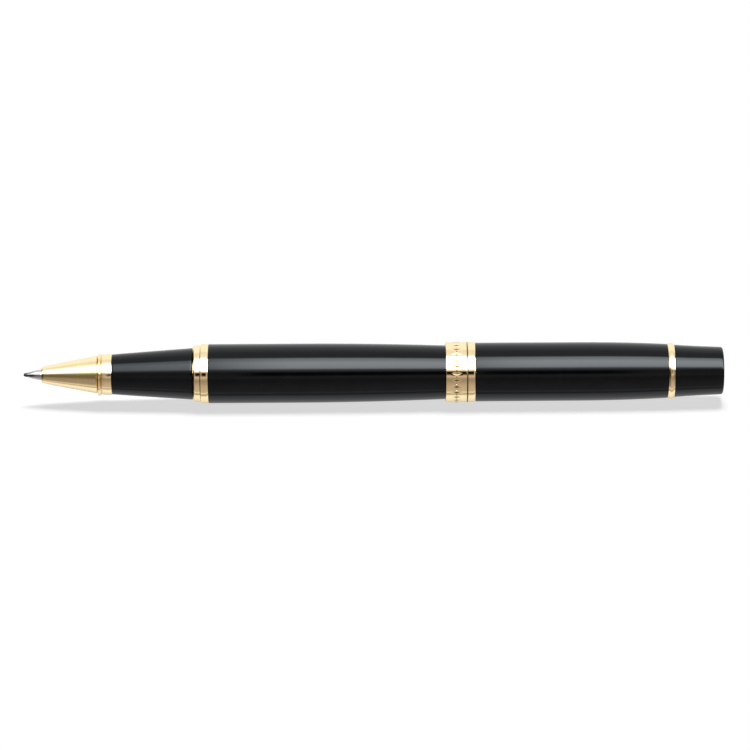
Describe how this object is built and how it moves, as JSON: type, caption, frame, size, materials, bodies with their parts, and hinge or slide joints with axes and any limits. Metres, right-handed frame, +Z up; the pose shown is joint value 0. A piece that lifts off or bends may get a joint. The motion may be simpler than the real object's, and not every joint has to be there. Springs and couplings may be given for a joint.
{
  "type": "rollerball pen",
  "caption": "Capped rollerball pen with its cap posted: tapered metal nose, black grip and barrel, gilt rings, a wide cap band and a sprung pocket clip.",
  "frame": {"origin": "the front of the rolling ball, which is the writing point", "axes": "+X along the pen's axis from the writing point to the flat end of the posted cap; +Z up as the pen lies on a table on its cap band, with the clip turned down and towards +Y"},
  "size_m": [0.1476, 0.0139, 0.0128],
  "materials": {
    "black_lacquer": "deep gloss black lacquer",
    "gold_plate": "pale gold plate, polished, with fine turning lines",
    "black_resin": "polished black resin, to match the lacquer",
    "point_steel": "turned stainless steel",
    "ball_carbide": "polished tungsten carbide",
    "tube_steel": "drawn stainless tube, satin",
    "spring_steel": "drawn spring wire",
    "clutch_steel": "stamped spring steel",
    "brass": "plain machined brass",
    "refill_plastic": "moulded, natural white",
    "guide_plastic": "moulded, dark grey",
    "inner_plastic": "moulded, translucent grey",
    "ink_fibre": "fibre rod soaked with blue-black ink",
    "wick_fibre": "bonded fibre, inked"
  },
  "bodies": {
    "barrel": {"barrel_ring": "gold_plate", "thread_bush": "brass", "barrel_shell": "black_lacquer", "tail_sleeve": "guide_plastic", "barrel_end": "black_resin", "refill_spring": "spring_steel"},
    "loose_ring": {"section_ring": "gold_plate"},
    "section": {"nose_cone": "gold_plate", "grip_shell": "black_resin", "section_sleeve": "brass"},
    "refill": {"refill_point": "point_steel", "refill_nose": "refill_plastic", "refill_tube": "tube_steel", "refill_plug": "refill_plastic", "ink_reservoir": "ink_fibre", "ink_wick": "wick_fibre"},
    "ball": {"rolling_ball": "ball_carbide"},
    "clutch": {"cap_clutch": "clutch_steel"},
    "cap": {"cap_band": "gold_plate", "cap_shell": "black_lacquer", "inner_cap": "inner_plastic", "clip_carrier": "guide_plastic", "clip_pin": "tube_steel", "clip_spring": "spring_steel", "clip_ring": "gold_plate", "finial": "black_resin", "finial_stud": "brass"},
    "clip": {"clip": "gold_plate"}
  },
  "joints": [
    {"name": "section_advance", "type": "slide", "parent": "barrel", "child": "loose_ring", "axis": [-1, 0, 0], "range_m": [0, 0.0056]},
    {"name": "section_turn", "type": "hinge", "parent": "loose_ring", "child": "section", "pos_m": [0.0365, 0, 0], "axis": [-1, 0, 0], "range_deg": [0, 2520]},
    {"name": "refill_float", "type": "slide", "parent": "section", "child": "refill", "axis": [1, 0, 0], "range_m": [0, 0.0008], "stiffness_N_per_m": 800, "springref_m": -0.004, "deforming": ["refill_spring"]},
    {"name": "ball_roll", "type": "hinge", "parent": "refill", "child": "ball", "pos_m": [0.00035, 0, 0], "axis": [0, 1, 0], "continuous": true},
    {"name": "cap_pull", "type": "slide", "parent": "barrel", "child": "clutch", "axis": [1, 0, 0], "range_m": [0, 0.04]},
    {"name": "cap_turn", "type": "hinge", "parent": "clutch", "child": "cap", "pos_m": [0.097, 0, 0], "axis": [1, 0, 0], "continuous": true},
    {"name": "clip_lift", "type": "hinge", "parent": "cap", "child": "clip", "pos_m": [0.132, 0.00252, -0.00197], "axis": [0, -0.6157, -0.788], "range_deg": [0, 5], "stiffness_Nm_per_rad": 0.4, "springref_deg": -5.73, "deforming": ["clip_spring"]}
  ],
  "couplings": [
    {"joint": "section_turn", "follows": "section_advance", "rad_per_m": 7853}
  ]
}
